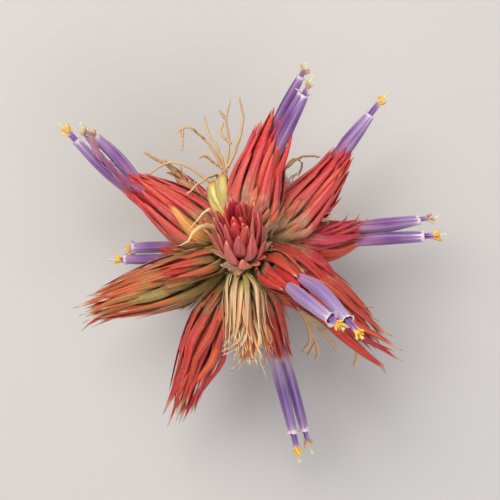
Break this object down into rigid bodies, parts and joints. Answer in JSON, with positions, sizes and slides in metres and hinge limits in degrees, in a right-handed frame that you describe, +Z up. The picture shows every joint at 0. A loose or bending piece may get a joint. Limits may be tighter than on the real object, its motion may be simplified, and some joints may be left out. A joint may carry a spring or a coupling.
{
  "type": "blooming air plant clump",
  "caption": "Clump of small air-plant rosettes with red leaves, violet tube flowers and wiry roots, lying on a surface on three of its leaf bundles.",
  "frame": {"origin": "bottom centre of the bounding box, on the surface that the plant lies on", "axes": "+Z up from the surface, +Y towards the top flowers, +X towards the right-hand flowers"},
  "size_m": [0.128, 0.134, 0.0932],
  "materials": {
    "leaf_coral": "matte",
    "leaf_red": "matte",
    "leaf_pink": "matte",
    "leaf_orange": "matte",
    "leaf_straw": "matte",
    "leaf_green": "matte",
    "dry": "matte",
    "petal": "satin",
    "pollen": "matte",
    "root": "matte",
    "stem": "matte"
  },
  "bodies": {
    "root": {"stem_base": "stem", "rosette_top": "leaf_coral", "rosette_upper_right": "leaf_coral", "rosette_right": "leaf_red", "rosette_lower_right": "leaf_red", "rosette_lower_right_front": "leaf_red", "rosette_bottom": "leaf_red", "rosette_straw": "leaf_straw", "rosette_lower_left": "leaf_red", "rosette_left": "leaf_orange", "rosette_back_left": "leaf_coral", "rosette_upper_left": "leaf_coral", "rosette_front": "leaf_pink", "rosette_left_pup": "leaf_red", "rosette_upper_left_pup": "leaf_coral", "rosette_foot_top": "leaf_coral", "rosette_foot_right": "leaf_coral", "rosette_foot_left": "leaf_orange", "rosette_back": "leaf_coral", "rosette_back_upper": "leaf_coral", "rosette_back_right": "leaf_coral", "rosette_back_lower": "leaf_coral", "flower_top_1": "petal", "stamens_top_1": "pollen", "flower_top_2": "petal", "stamens_top_2": "pollen", "flower_upper_right_1": "petal", "stamens_upper_right_1": "pollen", "flower_right_1": "petal", "stamens_right_1": "pollen", "flower_right_2": "petal", "stamens_right_2": "pollen", "flower_front_1": "petal", "stamens_front_1": "pollen", "flower_front_2": "petal", "stamens_front_2": "pollen", "flower_bottom_1": "petal", "stamens_bottom_1": "pollen", "flower_bottom_2": "petal", "stamens_bottom_2": "pollen", "flower_back_left_1": "petal", "stamens_back_left_1": "pollen", "flower_back_left_2": "petal", "stamens_back_left_2": "pollen", "flower_upper_left_1": "petal", "stamens_upper_left_1": "pollen", "flower_upper_left_2": "petal", "stamens_upper_left_2": "pollen", "flower_upper_left_3": "petal", "stamens_upper_left_3": "pollen", "roots_top": "root", "roots_left": "root", "roots_right": "root", "roots_lower": "root", "roots_back": "root", "dry_leaf_1": "leaf_straw", "dry_leaf_2": "leaf_straw", "young_leaf": "leaf_green", "dry_stalk": "dry"}
  },
  "joints": []
}
